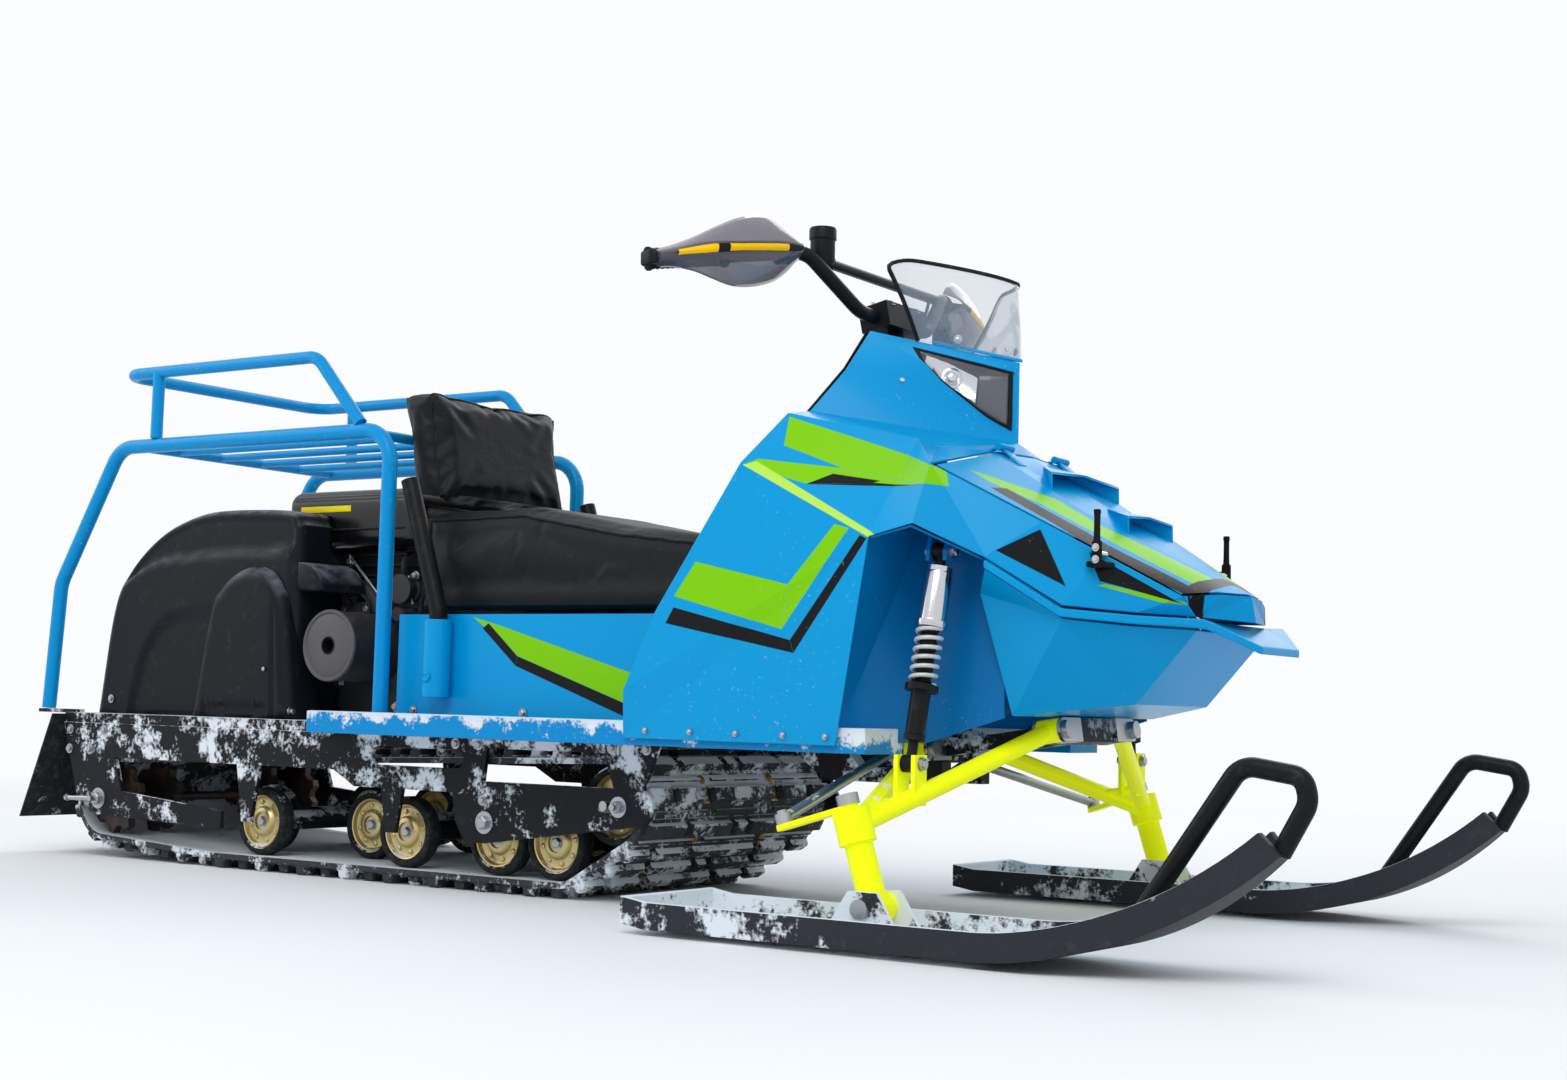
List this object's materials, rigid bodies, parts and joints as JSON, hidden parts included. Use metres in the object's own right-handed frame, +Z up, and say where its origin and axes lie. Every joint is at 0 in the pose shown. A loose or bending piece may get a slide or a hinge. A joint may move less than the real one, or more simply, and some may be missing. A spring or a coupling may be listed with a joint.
{
  "type": "snowmobile",
  "caption": "Utility snowmobile: steered skis on A-arms, wide rear track, open engine behind the seat, drive cover, luggage rack, folded hood with lifting nose lid.",
  "frame": {"origin": "middle of the length and width, on the ground", "axes": "+X forward, +Y to the rider's left, +Z up"},
  "size_m": [2.5681, 1.116, 1.0332],
  "materials": {
    "body_blue": "gloss",
    "frame_blue": "gloss",
    "frame_black": "satin",
    "black_plastic": "matte",
    "track_rubber": "matte",
    "wheel": "matte",
    "axle_steel": "satin",
    "seat_black": "satin",
    "tank_black": "gloss",
    "engine_grey": "satin",
    "muffler_steel": "satin",
    "lime": "gloss",
    "chrome": "polished",
    "ski_grey": "satin",
    "lens": "clear",
    "smoke": "clear",
    "grip_rubber": "matte"
  },
  "bodies": {
    "chassis": {"track": "track_rubber", "frame_right": "frame_black", "frame_left": "frame_black", "rear_deck": "frame_black", "road_wheels": "wheel", "idler_axle": "wheel", "drive_axle": "axle_steel", "mud_flap": "track_rubber", "footboard_right": "frame_blue", "footboard_left": "frame_blue", "seat_base": "body_blue", "seat": "seat_black", "backrest": "seat_black", "backrest_frame": "frame_black", "rack_hoops": "frame_blue", "rack_platform": "frame_blue", "rack_rail": "frame_blue", "engine_block": "engine_grey", "fuel_tank": "tank_black", "muffler": "muffler_steel", "drive_cover": "black_plastic", "hood_side_right": "body_blue", "hood_side_left": "body_blue", "hood_frame": "body_blue", "lamp_cowl": "body_blue", "headlights": "lens", "windshield": "smoke", "console": "black_plastic", "nose_chin": "body_blue", "nose_lip": "body_blue", "inner_panels": "body_blue", "lid_straps": "grip_rubber", "front_frame": "frame_blue", "arm_right": "lime", "arm_left": "lime", "shocks": "chrome", "springs": "chrome"},
    "steering": {"steering_column": "frame_black", "handlebar": "frame_black", "grips": "grip_rubber", "hand_guards": "black_plastic"},
    "ski_right_body": {"kingpin_right": "lime", "ski_right": "ski_grey", "ski_loop_right": "ski_grey"},
    "ski_left_body": {"kingpin_left": "lime", "ski_left": "ski_grey", "ski_loop_left": "ski_grey"},
    "tie_rod_right_body": {"tie_rod_right": "frame_black"},
    "tie_rod_left_body": {"tie_rod_left": "frame_black"},
    "lid": {"nose_lid": "body_blue"}
  },
  "joints": [
    {"name": "steer", "type": "hinge", "parent": "chassis", "child": "steering", "pos_m": [0.56769, 0, 0.291], "axis": [-0.2164, 0, 0.9763], "range_deg": [-28, 28]},
    {"name": "ski_right_turn", "type": "hinge", "parent": "chassis", "child": "ski_right_body", "pos_m": [0.661, -0.453, 0.154], "axis": [-0.309, 0, 0.9511], "range_deg": [-28, 28]},
    {"name": "ski_left_turn", "type": "hinge", "parent": "chassis", "child": "ski_left_body", "pos_m": [0.661, 0.453, 0.154], "axis": [-0.309, 0, 0.9511], "range_deg": [-28, 28]},
    {"name": "tie_rod_right_swing", "type": "hinge", "parent": "ski_right_body", "child": "tie_rod_right_body", "pos_m": [0.56029, -0.469, 0.15976], "axis": [-0.309, 0, 0.9511], "range_deg": [-28, 28]},
    {"name": "tie_rod_left_swing", "type": "hinge", "parent": "ski_left_body", "child": "tie_rod_left_body", "pos_m": [0.56029, 0.469, 0.15976], "axis": [-0.309, 0, 0.9511], "range_deg": [-28, 28]},
    {"name": "hood_open", "type": "hinge", "parent": "chassis", "child": "lid", "pos_m": [0.67849, 0, 0.69268], "axis": [0, -1, 0], "range_deg": [0, 60]}
  ],
  "couplings": [
    {"joint": "ski_right_turn", "follows": "steer", "ratio": 1},
    {"joint": "ski_left_turn", "follows": "steer", "ratio": 1},
    {"joint": "tie_rod_right_swing", "follows": "steer", "ratio": -1},
    {"joint": "tie_rod_left_swing", "follows": "steer", "ratio": -1}
  ]
}
